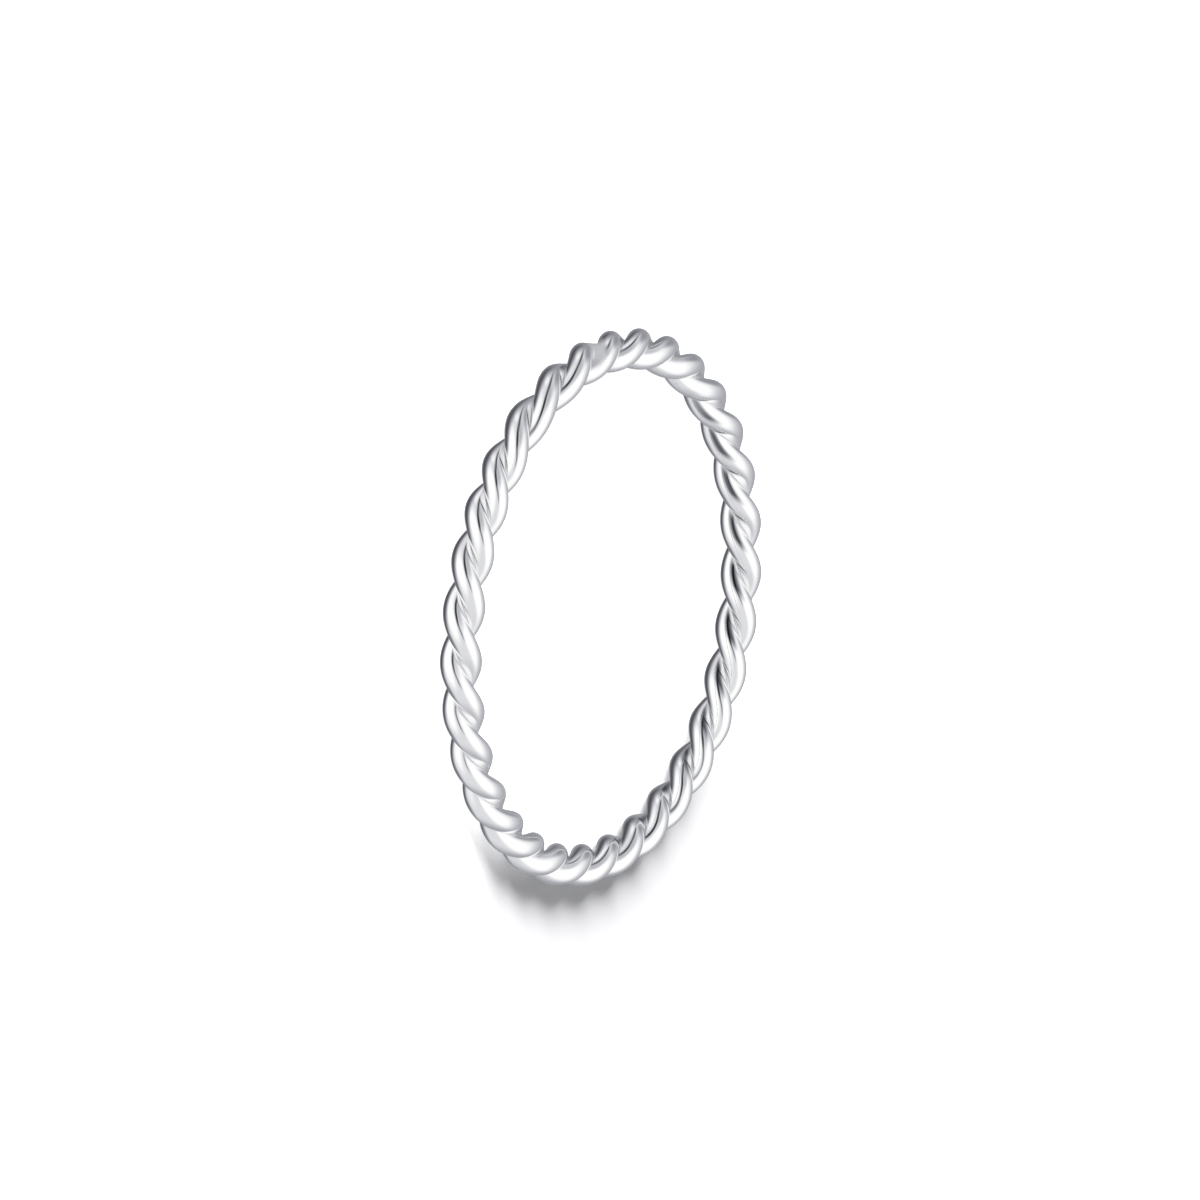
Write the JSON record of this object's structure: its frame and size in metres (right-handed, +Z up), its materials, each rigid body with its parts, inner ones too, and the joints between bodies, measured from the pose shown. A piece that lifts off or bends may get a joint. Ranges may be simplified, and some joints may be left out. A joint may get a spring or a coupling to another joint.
{
  "type": "rope twist ring",
  "caption": "Slim finger ring of polished silver wires twisted together into a rope and soldered into a closed round band.",
  "frame": {"origin": "on the ring's axis, in the plane of the surface that the ring lies on", "axes": "+Z up along the ring's axis, the way the finger goes in; the soldered joint is 22 degrees round from -X towards -Y, and -Y is the side nearest to the viewer"},
  "size_m": [0.0202, 0.0202, 0.0015],
  "materials": {
    "polished_silver": "drawn sterling silver wire, polished to a mirror, with no stone and no plating"
  },
  "bodies": {
    "root": {"strand_a": "polished_silver", "strand_b": "polished_silver"}
  },
  "joints": []
}
